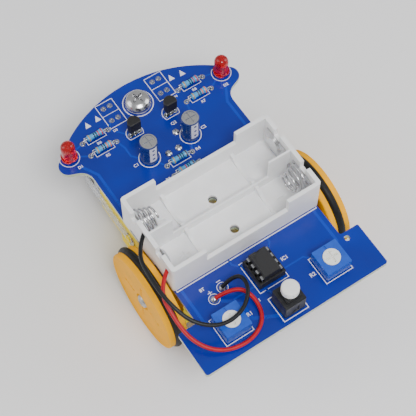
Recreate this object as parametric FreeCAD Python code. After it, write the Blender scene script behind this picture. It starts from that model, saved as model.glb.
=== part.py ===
import FreeCAD, Part
import math
import os

# Two-wheel line-following robot car, assembled.  Millimetres.
# +X is forward (the caster end), +Y is the car's left, +Z is up.
# Lengths along the car are first written as "u", the distance forward of the
# board's rear edge, and turned into x by U().

V = FreeCAD.Vector
os.makedirs("parts", exist_ok=True)

# ------------------------------------------------------------------ driving sizes
BOARD_LEN = 105.5        # rear edge to the front of the arc
BOARD_BAR = 71.0         # width of the rear bar
BOARD_BODY = 56.6        # width between the wheel recesses
BOARD_WING = 72.4        # width over the two front wings
BOARD_T = 1.6
BAR_U = 16.75            # front edge of the rear bar
BODY_U = 79.6            # where the front fan starts to widen
FRONT_R = 49.6           # radius of the front arc
BOARD_Z = 31.25          # underside of the board above the floor
TOP_Z = BOARD_Z + BOARD_T

AXLE_U = 38.0            # wheel axle
AXLE_Z = 19.0
GB_Y0, GB_Y1 = 8.2, 27.0 # gearbox faces, inner and outer
GB_YM = 17.6             # split plane and motor axis
GB_U0, GB_U1 = 26.8, 66.0
GB_H = 22.5
SLEEVE_U1 = 79.0
TAB_U0 = 21.8
WALL = 1.5
PIN_R = 0.75

M_OUT, N_BIG, N_SMALL = 0.45, 36, 9     # last stage
M_MID = 0.35                            # middle stage
M_CROWN, N_CROWN = 0.40, 27             # crown stage, 9-tooth motor pinion
MID_U = AXLE_U + M_OUT * (N_BIG + N_SMALL) / 2.0
CROWN_U = MID_U + M_MID * (N_BIG + N_SMALL) / 2.0

SHAFT_R = 2.7
SHAFT_FLAT = 3.7
RUN = 0.05               # running clearance, radial

WHEEL_R = 18.0
WHEEL_Y0, WHEEL_Y1 = 29.5, 36.5
TYRE_C = 17.56           # radius of the ring's centre line when stretched on
TYRE_R = 1.44
GROOVE_R = 1.46

CAN_R = 10.0
CAN_FLAT = 7.7
CAN_U0, CAN_U1 = 66.8, 86.8
CAP_U1 = 91.3

CASTER_U = 96.5
BOLT_R = 2.45
BOLT_LEN = 30.0

HOLD_L, HOLD_W, HOLD_H = 57.5, 31.5, 15.0
HOLD_U = 45.25
PAD_T = 0.8
HOLD_Z = TOP_Z + PAD_T
HOLD_WALL = 1.5


def U(u):
    return u - BOARD_LEN / 2.0


def box(u0, u1, y0, y1, z0, z1):
    return Part.makeBox(u1 - u0, y1 - y0, z1 - z0, V(U(u0), y0, z0))


def cyl(u, y, z, r, h, axis=(0, 0, 1)):
    return Part.makeCylinder(r, h, V(U(u), y, z), V(*axis))


def cone(u, y, z, r1, r2, h, axis=(0, 0, 1)):
    return Part.makeCone(r1, r2, h, V(U(u), y, z), V(*axis))


def lathe(points, u, y, z, axis=(0, 0, 1)):
    """Solid of revolution.  points are (radius, height) pairs round a closed outline."""
    pts = [V(r, 0, h) for r, h in points]
    pts.append(pts[0])
    f = Part.Face(Part.makePolygon(pts))
    s = f.revolve(V(0, 0, 0), V(0, 0, 1), 360)
    rot = FreeCAD.Rotation(V(0, 0, 1), V(*axis))
    s.Placement = FreeCAD.Placement(V(U(u), y, z), rot)
    return s


def solid(shape):
    """The single solid inside a boolean result."""
    s = shape.Solids
    return s[0] if len(s) == 1 else Part.makeCompound(s)


def group(parts):
    out = []
    for p in parts:
        out.extend(p.Solids if p.Solids else [p])
    return Part.makeCompound(out)


def flip(shape):
    """The same piece on the car's right."""
    return shape.mirror(V(0, 0, 0), V(0, 1, 0))


def tube(points, d):
    """Round cord: straight runs joined by tangent arcs."""
    p = [V(U(a), b, c) for a, b, c in points]
    edges = []
    last = p[0]
    for i in range(1, len(p) - 1):
        a, b, c = p[i - 1], p[i], p[i + 1]
        d1 = (a - b)
        d2 = (c - b)
        l1, l2 = d1.Length, d2.Length
        d1.normalize()
        d2.normalize()
        turn = math.pi - math.acos(max(-1, min(1, d1.dot(d2))))
        half = turn / 2.0
        reach = 0.45 * min(l1, l2)
        r = reach / math.tan(half)
        s = b + d1 * reach
        e = b + d2 * reach
        bis = d1 + d2
        bis.normalize()
        centre = b + bis * (r / math.cos(half))
        mid = centre - bis * r
        edges.append(Part.LineSegment(last, s).toShape())
        edges.append(Part.Arc(s, mid, e).toShape())
        last = e
    edges.append(Part.LineSegment(last, p[-1]).toShape())
    path = Part.Wire(edges)
    t = (p[1] - p[0])
    ring = Part.Wire([Part.Circle(p[0], t, d / 2.0).toShape()])
    return path.makePipeShell([ring], True, False)


def gear_points(n, m, add, ded, backlash, phase=0.0, steps=4):
    rp = m * n / 2.0
    rb = rp * math.cos(math.radians(20))
    ra = rp + add * m
    rr = rp - ded * m
    inv = lambda a: math.tan(a) - a
    thick = (math.pi * m / 2.0 - backlash) / rp
    start = max(rb, rr + 0.02)

    def half(r):
        a = math.acos(min(1.0, rb / r)) if r > rb else 0.0
        return thick / 2.0 + inv(math.radians(20)) - inv(a)

    radii = [start + (ra - start) * i / steps for i in range(steps + 1)]
    pts = []
    for k in range(n):
        c = phase + 2 * math.pi * k / n
        hb = min(half(start), math.pi / n - 0.02)
        flank = [(r, half(r)) for r in radii]
        pts.append((rr, c - hb))
        for r, h in flank:
            pts.append((r, c - h))
        for r, h in reversed(flank):
            pts.append((r, c + h))
        pts.append((rr, c + hb))
    return [(r * math.cos(t), r * math.sin(t)) for r, t in pts]


def spur(n, m, u, y0, y1, add, ded, backlash, phase=0.0):
    """Spur gear blank on an axle parallel to Y."""
    pts = [V(a, 0, b) for a, b in gear_points(n, m, add, ded, backlash, phase)]
    pts.append(pts[0])
    f = Part.Face(Part.makePolygon(pts))
    g = f.extrude(V(0, y1 - y0, 0))
    g.translate(V(U(u), y0, AXLE_Z))
    return g


def ycyl(u, z, r, y0, y1):
    return cyl(u, y0, z, r, y1 - y0, (0, 1, 0))


def xcyl(u0, u1, y, z, r):
    return cyl(u0, y, z, r, u1 - u0, (1, 0, 0))


parts = {}

# ------------------------------------------------------------------ circuit board
hb, hw = BOARD_BAR / 2.0, BOARD_BODY / 2.0
cu = BOARD_LEN - FRONT_R          # centre of the front arc
tip_y = 34.4
tip_u = cu + math.sqrt(FRONT_R ** 2 - tip_y ** 2)


def P(u, y):
    return V(U(u), y, BOARD_Z)


def arc3(a, b, c):
    return Part.Arc(a, b, c).toShape()


def seg(a, b):
    return Part.LineSegment(a, b).toShape()


k = 1.0
q = k * (1 - math.sqrt(0.5))
right = [
    seg(P(0, 0), P(0, -(hb - k))),
    arc3(P(0, -(hb - k)), P(q, -(hb - q)), P(k, -hb)),
    seg(P(k, -hb), P(BAR_U - 0.6, -hb)),
    arc3(P(BAR_U - 0.6, -hb), P(BAR_U - 0.18, -(hb - 0.18)), P(BAR_U, -(hb - 0.6))),
    seg(P(BAR_U, -(hb - 0.6)), P(BAR_U, -(hw + 0.8))),
    arc3(P(BAR_U, -(hw + 0.8)), P(BAR_U + 0.24, -(hw + 0.24)), P(BAR_U + 0.8, -hw)),
    seg(P(BAR_U + 0.8, -hw), P(BODY_U, -hw)),
    arc3(P(BODY_U, -hw), P(BODY_U + 2.9, -(hw + 1.0)), P(BODY_U + 4.7, -(hw + 3.4))),
    seg(P(BODY_U + 4.7, -(hw + 3.4)), P(BODY_U + 5.5, -(hw + 5.4))),
    arc3(P(BODY_U + 5.5, -(hw + 5.4)), P(BODY_U + 8.3, -(BOARD_WING / 2.0)), P(tip_u, -tip_y)),
]
front = arc3(P(tip_u, -tip_y), P(BOARD_LEN, 0), P(tip_u, tip_y))
left = [flip(e) for e in reversed(right)]
outline = Part.Wire(Part.__sortEdges__(right + [front] + left))
board = Part.Face(outline).extrude(V(0, 0, BOARD_T))

HOLE_SMALL = 0.5        # lead holes
holes = []              # (u, y, hole radius)
pins = []               # straight legs: (u, y, z0, z1, r)
joints_below = []       # solder cones under the board: (u, y, leg radius)
joints_above = []       # solder cones on the board: (u, y, leg radius)

PIN = 0.28


def leg(u, y, top, bottom=BOARD_Z - 1.6, r=PIN):
    holes.append((u, y, HOLE_SMALL))
    pins.append((u, y, bottom, top, r))
    joints_below.append((u, y, r))


# chip and its socket
CHIP_U = 20.0
sock_z1 = TOP_Z + 3.6
socket = box(CHIP_U - 5.1, CHIP_U + 5.1, -5.0, 5.0, TOP_Z + 0.4, sock_z1)
socket = socket.cut(box(CHIP_U - 3.9, CHIP_U + 3.9, -2.3, 2.3, TOP_Z, sock_z1 + 1))
socket = socket.fuse(box(CHIP_U - 0.7, CHIP_U + 0.7, -2.4, 2.4, TOP_Z + 0.4, sock_z1 - 1.0))
socket = socket.cut(cyl(CHIP_U + 5.1, 0, TOP_Z, 1.1, 8))
chip_z0 = sock_z1 + 0.35
chip = box(CHIP_U - 4.65, CHIP_U + 4.65, -3.15, 3.15, chip_z0, chip_z0 + 3.3)
side = [e for e in chip.Edges if abs(e.Vertexes[0].Z - e.Vertexes[-1].Z) < 1e-6 and e.Vertexes[0].Z > chip_z0 + 3]
chip = chip.makeChamfer(0.35, side)
chip = chip.cut(cyl(CHIP_U + 4.65, 0, chip_z0 + 2.4, 0.8, 2.0))
chip = chip.cut(cyl(CHIP_U + 3.3, 1.9, chip_z0 + 3.1, 0.5, 1.0))
for i in (-3.81, -1.27, 1.27, 3.81):
    for s in (-1, 1):
        y = s * 3.81
        # the socket's own turned pin and the chip's leg that stands in it
        socket = socket.cut(cyl(CHIP_U + i, y, TOP_Z, 0.62, 8))
        holes.append((CHIP_U + i, y, HOLE_SMALL))
        joints_below.append((CHIP_U + i, y, PIN))
        pins.append((CHIP_U + i, y, BOARD_Z - 1.6, TOP_Z + 1.0, PIN))
parts["chip_socket"] = solid(socket)

chip_legs = []
for i in (-3.81, -1.27, 1.27, 3.81):
    for s in (-1, 1):
        u = CHIP_U + i
        a = box(u - 0.7, u + 0.7, 3.17, 4.05, chip_z0 + 1.5, chip_z0 + 1.75)
        b = box(u - 0.7, u + 0.7, 3.80, 4.05, chip_z0 - 0.2, chip_z0 + 1.5)
        c = box(u - 0.25, u + 0.25, 3.80, 4.05, TOP_Z + 1.6, chip_z0 - 0.2)
        l = a.fuse(b).fuse(c).removeSplitter()
        chip_legs.append(l if s > 0 else flip(l))
parts["chip"] = solid(chip)

# trimmers
TRIM_U, TRIM_Y, TRIM_S, TRIM_H = 10.0, 19.5, 9.5, 4.8
tz0 = TOP_Z + 0.5
tz1 = tz0 + TRIM_H


def trimmer(y, s):
    h = TRIM_S / 2.0
    b = box(TRIM_U - h, TRIM_U + h, y - h, y + h, tz0, tz1)
    b = b.makeFillet(0.35, [e for e in b.Edges if abs(e.Vertexes[0].Z - e.Vertexes[-1].Z) > 1])
    for du in (-1, 1):
        b = b.fuse(box(TRIM_U + du * 4.0 - 0.6, TRIM_U + du * 4.0 + 0.6, y - 4.2, y - 3.0, TOP_Z, tz0))
        b = b.fuse(box(TRIM_U + du * 4.0 - 0.6, TRIM_U + du * 4.0 + 0.6, y + 3.0, y + 4.2, TOP_Z, tz0))
    b = b.cut(cyl(TRIM_U, y, tz1 - 1.4, 3.05, 2))
    b = b.cut(cyl(TRIM_U, y, tz1 - 3.0, 1.25, 2))
    # index notch in the rim
    b = b.cut(box(TRIM_U + 3.0, TRIM_U + 4.4, y - 0.35, y + 0.35, tz1 - 0.5, tz1 + 1))
    return b.removeSplitter()


def trimmer_rotor(y):
    r = cyl(TRIM_U, y, tz1 - 1.25, 2.95, 1.45).fuse(cyl(TRIM_U, y, tz1 - 2.9, 1.18, 1.75))
    top = tz1 + 0.2
    r = r.cut(box(TRIM_U - 2.2, TRIM_U + 2.2, y - 0.35, y + 0.35, top - 0.8, top + 1))
    r = r.cut(box(TRIM_U - 0.35, TRIM_U + 0.35, y - 2.2, y + 2.2, top - 0.8, top + 1))
    # arrow-shaped end of the screwdriver slot
    w = Part.makePolygon([V(U(TRIM_U + 2.55), y, top - 0.8), V(U(TRIM_U + 1.5), y + 0.95, top - 0.8),
                          V(U(TRIM_U + 1.5), y - 0.95, top - 0.8), V(U(TRIM_U + 2.55), y, top - 0.8)])
    r = r.cut(Part.Face(w).extrude(V(0, 0, 2)))
    return r.removeSplitter()


parts["trimmer_housings"] = group([trimmer(TRIM_Y, 1), trimmer(-TRIM_Y, -1)])
parts["trimmer_rotor_left"] = trimmer_rotor(TRIM_Y)
parts["trimmer_rotor_right"] = trimmer_rotor(-TRIM_Y)
for s in (-1, 1):
    for du, dy in ((-2.54, -1.27), (0.0, 1.27), (2.54, -1.27)):
        leg(TRIM_U + du, s * (TRIM_Y + dy), tz0 - 0.01)

# push switch: pressed down along Z, springs back
SW_U = 6.2
sw_z1 = TOP_Z + 7.0
sw = box(SW_U - 4, SW_U + 4, -4, 4, TOP_Z + 0.2, sw_z1)
sw = sw.makeFillet(0.5, [e for e in sw.Edges if abs(e.Vertexes[0].Z - e.Vertexes[-1].Z) > 1])
sw = sw.fuse(box(SW_U - 2.6, SW_U + 2.6, -2.6, 2.6, sw_z1, sw_z1 + 1.0))
sw = sw.cut(box(SW_U - 1.6, SW_U + 1.6, -1.6, 1.6, TOP_Z + 2.2, sw_z1 + 3))
sw = sw.cut(box(SW_U - 4.5, SW_U - 3.7, -1.2, 1.2, TOP_Z + 1.2, TOP_Z + 5.0))
parts["switch_body"] = solid(sw.removeSplitter())
btn = box(SW_U - 1.5, SW_U + 1.5, -1.5, 1.5, TOP_Z + 4.6, sw_z1 + 3.0)
capb = lathe([(0, 0), (2.7, 0), (3.0, 0.3), (3.0, 2.5), (2.6, 3.0), (0, 3.2)], SW_U, 0, sw_z1 + 3.0)
parts["switch_button"] = solid(btn.fuse(capb).removeSplitter())
for dy in (-2.25, 2.25):
    for du in (-2.0, 0.0, 2.0):
        leg(SW_U + du, dy, TOP_Z + 0.19)

# resistors: (u, y centre, half pitch), lying across the car
RES = [(65.5, 0.0), (70.0, 0.0), (87.6, 19.4), (93.2, 19.4), (87.6, -19.4), (93.2, -19.4)]
RES_HALF = 5.08
RES_Z = TOP_Z + 1.35
RLEG = 0.27
res_bodies, res_legs = [], []
for u, y in RES:
    prof = [(0, -3.15), (0.75, -3.15), (1.1, -2.9), (1.18, -2.45), (1.12, -1.85), (0.94, -1.55),
            (0.94, 1.55), (1.12, 1.85), (1.18, 2.45), (1.1, 2.9), (0.75, 3.15), (0, 3.15)]
    res_bodies.append(lathe(prof, u, y, RES_Z, (0, 1, 0)))
    for s in (-1, 1):
        b = 0.8
        y0, y1 = y + s * 3.16, y + s * RES_HALF
        p0 = V(U(u), y0, RES_Z)
        p1 = V(U(u), y1 - s * b, RES_Z)
        p2 = V(U(u), y1, RES_Z - b)
        pm = V(U(u), y1 - s * b * (1 - math.sqrt(0.5)), RES_Z - b * (1 - math.sqrt(0.5)))
        p3 = V(U(u), y1, BOARD_Z - 1.5)
        w = Part.Wire([seg(p0, p1), arc3(p1, pm, p2), seg(p2, p3)])
        c = Part.Wire([Part.Circle(p0, V(0, s, 0), RLEG).toShape()])
        res_legs.append(w.makePipeShell([c], True, False))
        holes.append((u, y1, HOLE_SMALL))
        joints_below.append((u, y1, RLEG))
parts["resistors"] = group(res_bodies)
parts["resistor_leads"] = group(res_legs)

# electrolytic capacitors, standing
CAP_U, CAP_Y = 76.0, 8.3
caps = []
for s in (-1, 1):
    z0 = TOP_Z + 0.3
    prof = [(0, 0), (2.75, 0), (3.1, 0.3), (3.1, 0.9), (2.8, 1.25), (2.8, 1.5), (3.1, 1.85), (3.1, 10.6),
            (2.85, 10.95), (2.35, 11.0), (2.3, 10.85), (0, 10.85)]
    c = lathe(prof, CAP_U, s * CAP_Y, z0)
    c = c.cut(box(CAP_U - 2.2, CAP_U + 2.2, s * CAP_Y - 0.15, s * CAP_Y + 0.15, z0 + 10.6, z0 + 12))
    c = c.cut(box(CAP_U - 0.15, CAP_U + 0.15, s * CAP_Y - 2.2, s * CAP_Y + 2.2, z0 + 10.6, z0 + 12))
    caps.append(c)
    leg(CAP_U, s * (CAP_Y - 1.25), z0 - 0.01)
    leg(CAP_U, s * (CAP_Y + 1.25), z0 - 0.01)
parts["capacitors"] = group(caps)

# transistors, standing on three legs
TR_U, TR_Y = 87.0, 7.3
trs = []
for s in (-1, 1):
    z0 = TOP_Z + 3.2
    t = cyl(TR_U, s * TR_Y, z0, 2.35, 4.8).cut(box(TR_U - 4, TR_U - 1.3, s * TR_Y - 4, s * TR_Y + 4, z0 - 1, z0 + 6))
    t = t.makeChamfer(0.25, [e for e in t.Edges if abs(e.Vertexes[0].Z - (z0 + 4.8)) < 1e-6 and abs(e.Vertexes[-1].Z - (z0 + 4.8)) < 1e-6])
    trs.append(t)
    for dy in (-1.7, 0.0, 1.7):
        holes.append((TR_U, s * TR_Y + dy, HOLE_SMALL))
        joints_below.append((TR_U, s * TR_Y + dy, 0.24))
        pins.append((TR_U, s * TR_Y + dy, BOARD_Z - 1.6, z0 - 0.01, 0.24))
parts["transistors"] = group(trs)

# red indicator lamps on the wing tips
LED_U, LED_Y = 91.0, 31.0
LED_PROF = [(0, 0), (2.9, 0), (2.9, 1.0), (2.5, 1.0), (2.5, 6.1), (2.41, 6.77), (2.165, 7.35), (1.77, 7.87),
            (1.25, 8.27), (0.65, 8.52), (0, 8.6)]
leds = []
for s in (-1, 1):
    z0 = TOP_Z + 0.8
    l = lathe(LED_PROF, LED_U, s * LED_Y, z0)
    l = l.cut(box(LED_U - 4, LED_U - 2.5, s * LED_Y - 4, s * LED_Y + 4, z0 - 1, z0 + 1.0))
    leds.append(l)
    leg(LED_U - 1.27, s * LED_Y, z0 - 0.01, r=0.25)
    leg(LED_U + 1.27, s * LED_Y, z0 - 0.01, r=0.25)
parts["indicator_leds"] = group(leds)

# floor sensors: a lamp and a light sensor hang side by side under each half
SEN_Y, SLED_U, LDR_U = 10.0, 101.1, 95.6
SENSE_Z = 8.0            # height of the lamp's tip above the floor
sleds, ldrs = [], []
for s in (-1, 1):
    top = SENSE_Z + 8.6
    l = lathe([(r, -h) for r, h in LED_PROF], SLED_U, s * SEN_Y, top)
    l = l.cut(box(SLED_U + 2.5, SLED_U + 4, s * SEN_Y - 4, s * SEN_Y + 4, top - 1.0, top + 1))
    sleds.append(l)
    d = lathe([(0, 0.25), (1.9, 0.25), (2.2, 0), (2.5, 0.15), (2.55, 0.4), (2.55, 1.8), (2.4, 2.0), (0, 2.0)],
              LDR_U, s * SEN_Y, SENSE_Z + 1.5)
    ldrs.append(d)
    for uu, t0 in ((SLED_U, top), (LDR_U, SENSE_Z + 3.5)):
        for dy in (-1.27, 1.27):
            holes.append((uu, s * SEN_Y + dy, HOLE_SMALL))
            pins.append((uu, s * SEN_Y + dy, t0 + 0.01, TOP_Z + 1.0, 0.25))
            joints_above.append((uu, s * SEN_Y + dy, 0.25))
parts["sensor_leds"] = group(sleds)
parts["light_sensors"] = group(ldrs)

# holes for the caster, the holder's screws and the spare corner hole
cuts = [cyl(CASTER_U, 0, BOARD_Z - 1, 2.6, 4)]
for u in (37.0, 50.0):
    cuts.append(cyl(u, 0, BOARD_Z - 1, 1.6, 4))
cuts.append(cyl(14.5, -29.5, BOARD_Z - 1, 1.0, 4))
for u, y, r in holes:
    cuts.append(cyl(u, y, BOARD_Z - 1, r, 4))
# battery lead pads and motor lead pads
PADS_TOP = [(20.5, 19.0), (22.5, 14.5)]
PADS_LOW = [(79.5, 4.6), (73.8, 2.0), (79.5, -4.6), (73.8, -2.0)]
for u, y in PADS_TOP + PADS_LOW:
    cuts.append(cyl(u, y, BOARD_Z - 1, 0.55, 4))
board = board.cut(Part.makeCompound(cuts))
parts["circuit_board"] = solid(board)

sol = []
for u, y, r in joints_below:
    sol.append(lathe([(r, 0), (r, -1.15), (r + 0.12, -1.15), (0.5, -0.65), (0.85, -0.12), (0.9, 0)], u, y, BOARD_Z))
for u, y, r in joints_above:
    sol.append(lathe([(r, 0), (0.9, 0), (0.85, 0.12), (0.5, 0.6), (r + 0.12, 0.95), (r, 0.95)], u, y, TOP_Z))
for u, y in PADS_LOW:
    sol.append(lathe([(0, 0), (1.3, 0), (1.1, 0.45), (0.6, 0.8), (0, 0.9)], u, y, TOP_Z))
for u, y in PADS_TOP:
    sol.append(lathe([(0, 0), (1.3, 0), (1.1, -0.45), (0.6, -0.8), (0, -0.9)], u, y, BOARD_Z))
parts["solder_joints"] = group(sol)
parts["component_pins"] = group([cyl(u, y, z0, r, z1 - z0) for u, y, z0, z1, r in pins] + chip_legs)

# ------------------------------------------------------------------ caster
head = lathe([(0, 0), (4.6, 0), (4.75, 0.5), (4.6, 1.6), (3.9, 2.7), (2.6, 3.4), (1.3, 3.7), (0, 3.75)],
             CASTER_U, 0, TOP_Z)
prof = [(0, TOP_Z), (BOLT_R, TOP_Z), (BOLT_R, 26.9)]
z = 26.7
while z > 10.6:
    prof += [(BOLT_R, z), (BOLT_R - 0.36, z - 0.4)]
    z -= 0.8
prof += [(BOLT_R, z), (BOLT_R, TOP_Z - BOLT_LEN + 0.6), (BOLT_R - 0.6, TOP_Z - BOLT_LEN), (0, TOP_Z - BOLT_LEN)]
shank = lathe(prof, CASTER_U, 0, 0)
bolt = head.fuse(shank)
for a in (0, 90):
    s = Part.makeBox(4.4, 0.9, 2.4, V(-2.2, -0.45, 0))
    s.rotate(V(0, 0, 0), V(0, 0, 1), a + 20)
    s.translate(V(U(CASTER_U), 0, TOP_Z + 1.9))
    bolt = bolt.cut(s)
parts["caster_bolt"] = solid(bolt.removeSplitter())


def hexagon(af, z0, z1, turn=0):
    r = af / math.sqrt(3)
    pts = [V(U(CASTER_U) + r * math.cos(math.radians(60 * i + turn)), r * math.sin(math.radians(60 * i + turn)), z0)
           for i in range(7)]
    return Part.Face(Part.makePolygon(pts)).extrude(V(0, 0, z1 - z0))


nut = hexagon(8.0, BOARD_Z - 4.0, BOARD_Z, 12)
rnd = lathe([(0, 0), (4.0, 0), (4.65, 0.45), (4.65, 3.55), (4.0, 4.0), (0, 4.0)], CASTER_U, 0, BOARD_Z - 4.0)
nut = nut.common(rnd).cut(cyl(CASTER_U, 0, BOARD_Z - 5, BOLT_R + 0.01, 6))
nut = nut.cut(cone(CASTER_U, 0, BOARD_Z - 4.01, 2.9, 2.3, 0.6))
parts["caster_nut"] = solid(nut.removeSplitter())

capn = hexagon(8.0, 4.4, 10.0, 12)
capn = capn.common(lathe([(0, 0), (4.2, 0), (4.65, 0.4), (4.65, 5.1), (4.0, 5.6), (0, 5.6)], CASTER_U, 0, 4.4))
dome = [(0, 0)]
for i in range(1, 10):
    a = math.radians(10 * i)
    dome.append((3.75 * math.sin(a), 3.75 * (1 - math.cos(a))))
dome += [(3.75, 3.75), (3.75, 4.6), (0, 4.6)]
capn = capn.fuse(lathe(dome, CASTER_U, 0, 0))
capn = capn.cut(cyl(CASTER_U, 0, 2.5, BOLT_R + 0.01, 9))
parts["caster_cap_nut"] = solid(capn.removeSplitter())

# ------------------------------------------------------------------ battery holder
hu0, hu1 = HOLD_U - HOLD_W / 2.0, HOLD_U + HOLD_W / 2.0
hy = HOLD_L / 2.0
hz1 = HOLD_Z + HOLD_H
hold = box(hu0, hu1, -hy, hy, HOLD_Z, hz1)
hold = hold.makeFillet(1.2, [e for e in hold.Edges if abs(e.Vertexes[0].Z - e.Vertexes[-1].Z) > 1])
BAY_W = 14.0
bays = []
for s in (-1, 1):
    c = HOLD_U + s * (BAY_W / 2.0 + 0.35)
    bays.append(box(c - BAY_W / 2.0, c + BAY_W / 2.0, -(hy - HOLD_WALL), hy - HOLD_WALL, HOLD_Z + 1.4, hz1 + 1))
hold = hold.cut(Part.makeCompound(bays))
# the middle rib is low between its two ends
hold = hold.cut(box(HOLD_U - 1.5, HOLD_U + 1.5, -(hy - 10), hy - 10, HOLD_Z + 5.5, hz1 + 1))
# the long sides dip in the middle so that the cells can be lifted out
for s in (-1, 1):
    c = HOLD_U + s * HOLD_W / 2.0
    hold = hold.cut(box(c - 2.4, c + 2.4, -(hy - 13), hy - 13, HOLD_Z + 9.2, hz1 + 1))
# curved ribs that cradle the cells
for s in (-1, 1):
    c = HOLD_U + s * (BAY_W / 2.0 + 0.35)
    for y in (-14.0, 14.0):
        rib = box(c - BAY_W / 2.0, c + BAY_W / 2.0, y - 0.6, y + 0.6, HOLD_Z + 1.3, HOLD_Z + 4.2)
        rib = rib.cut(ycyl(c, HOLD_Z + 1.7 + 7.25, 7.25, y - 1, y + 1))
        hold = hold.fuse(rib)
# contact slots in the end walls
for s in (-1, 1):
    c = HOLD_U + s * (BAY_W / 2.0 + 0.35)
    for e in (-1, 1):
        y0 = e * (hy - HOLD_WALL / 2.0)
        hold = hold.cut(box(c - 1.6, c + 1.6, min(y0 - 1.2, y0 + 1.2), max(y0 - 1.2, y0 + 1.2), HOLD_Z + 11.6, hz1 + 1))
        hold = hold.cut(box(c - 3.2, c + 3.2, y0 - 1.2, y0 + 1.2, HOLD_Z - 1, HOLD_Z + 1.9))
for u in (37.0, 50.0):
    hold = hold.cut(cyl(u, 0, HOLD_Z - 1, 1.6, 4))
# slot in the middle rib for the strip that joins the two contacts on the right
hold = hold.cut(box(HOLD_U - 0.6, HOLD_U + 0.6, -(hy - HOLD_WALL), -(hy - HOLD_WALL) + 0.9, HOLD_Z + 2.9, HOLD_Z + 6.7))
# polarity marks moulded into the floor
for s in (-1, 1):
    c = HOLD_U + s * (BAY_W / 2.0 + 0.35)
    for y, plus in ((-19.0 * s, True), (19.0 * s, False)):
        hold = hold.cut(box(c - 0.3, c + 0.3, y - 1.8, y + 1.8, HOLD_Z + 1.1, HOLD_Z + 2))
        if plus:
            hold = hold.cut(box(c - 1.8, c + 1.8, y - 0.3, y + 0.3, HOLD_Z + 1.1, HOLD_Z + 2))

RED_B = [(33.7, 27.8, 43.9), (28.8, 34.4, 44.8), (19.6, 35.3, 41.6), (10.4, 33.8, 37.2), (3.4, 27.6, 34.7), (1.6, 17.6, 33.9), (5.6, 9.6, 34.0),
         (13.8, 8.2, 35.2), (19.4, 12.0, 36.6), (20.4, 18.7, 33.6)]
BLK_B = [(47.6, 27.8, 46.1), (42.2, 34.0, 47.2), (32.6, 35.2, 47.2), (22.9, 34.8, 45.8), (13.8, 31.4, 42.6), (8.7, 23.6, 40.2), (9.8, 14.6, 39.9),
         (15.6, 8.9, 41.0), (22.6, 9.2, 38.4), (22.4, 14.8, 33.6)]
LEAD_D = 1.4
for route in (RED_B, BLK_B):
    a, b = V(U(route[0][0]), route[0][1], route[0][2]), V(U(route[1][0]), route[1][1], route[1][2])
    d = (b - a)
    d.normalize()
    hold = hold.cut(Part.makeCylinder(LEAD_D / 2 + 0.12, 7, a - d * 2.0, d))
parts["battery_holder"] = solid(hold.removeSplitter())
parts["holder_pad"] = box(hu0 + 2.5, hu1 - 2.5, -24, 24, TOP_Z, HOLD_Z).cut(
    Part.makeCompound([cyl(37.0, 0, TOP_Z - 1, 2.2, 4), cyl(50.0, 0, TOP_Z - 1, 2.2, 4)]))
parts["battery_lead_red"] = tube(RED_B, LEAD_D)
parts["battery_lead_black"] = tube(BLK_B, LEAD_D)

# springs and plates inside the holder
springs, plates = [], []
for s in (-1, 1):
    c = HOLD_U + s * (BAY_W / 2.0 + 0.35)
    k = -s                              # the two cells lie opposite ways
    ye = -k * (hy - HOLD_WALL)          # spring end of this bay
    yo = k * (hy - HOLD_WALL)           # button end
    zc = HOLD_Z + 1.7 + 7.25
    # tapering coil made of short straight chords
    n, turns, h0, h1, r0, r1 = 52, 3.4, 1.1, 6.4, 4.7, 2.9
    pts = []
    for i in range(n + 1):
        t = i / n
        a = 2 * math.pi * turns * t
        r = r0 + (r1 - r0) * t
        h = h0 + (h1 - h0) * t
        pts.append(V(U(c) + r * math.cos(a), ye + k * h, zc + r * math.sin(a)))
    spl = Part.BSplineCurve()
    spl.interpolate(pts)
    w = Part.Wire([spl.toShape()])
    tan = spl.tangent(spl.FirstParameter)[0]
    ring = Part.Wire([Part.Circle(pts[0], tan, 0.38).toShape()])
    springs.append(w.makePipeShell([ring], True, True))
    # spring base plate and button plate
    for yy, dirn, isb in ((ye, k, False), (yo, -k, True)):
        y0, y1 = sorted((yy + dirn * 0.12, yy + dirn * 0.55))
        pl = box(c - 5.2, c + 5.2, y0, y1, HOLD_Z + 2.4, HOLD_Z + 12.0)
        if isb:
            d = lathe([(0, 0), (3.6, 0), (2.6, 0.9), (0, 0.9)], c, y0 if dirn < 0 else y1, zc, (0, dirn, 0))
            pl = pl.fuse(d).removeSplitter()
        plates.append(pl)
parts["battery_springs"] = group(springs)
# the two plates on the right are one piece, joined through a slot in the middle rib: the cells are in series
yr = -(hy - HOLD_WALL)
link = box(HOLD_U - 3.0, HOLD_U + 3.0, yr + 0.12, yr + 0.55, HOLD_Z + 3.2, HOLD_Z + 6.4)
right = [pl for pl in plates if pl.BoundBox.YMax < 0]
left = [pl for pl in plates if pl.BoundBox.YMax > 0]
for pl in right:
    link = link.fuse(pl)
parts["battery_contacts"] = group(left + [solid(link.removeSplitter())])

# ------------------------------------------------------------------ one drive unit (left)
gz0, gz1 = AXLE_Z - GB_H / 2.0, AXLE_Z + GB_H / 2.0


def can_section(u0, u1, r, flat):
    c = xcyl(u0, u1, GB_YM, AXLE_Z, r)
    return c.common(box(u0 - 1, u1 + 1, GB_YM - flat, GB_YM + flat, AXLE_Z - 30, AXLE_Z + 30))


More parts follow.
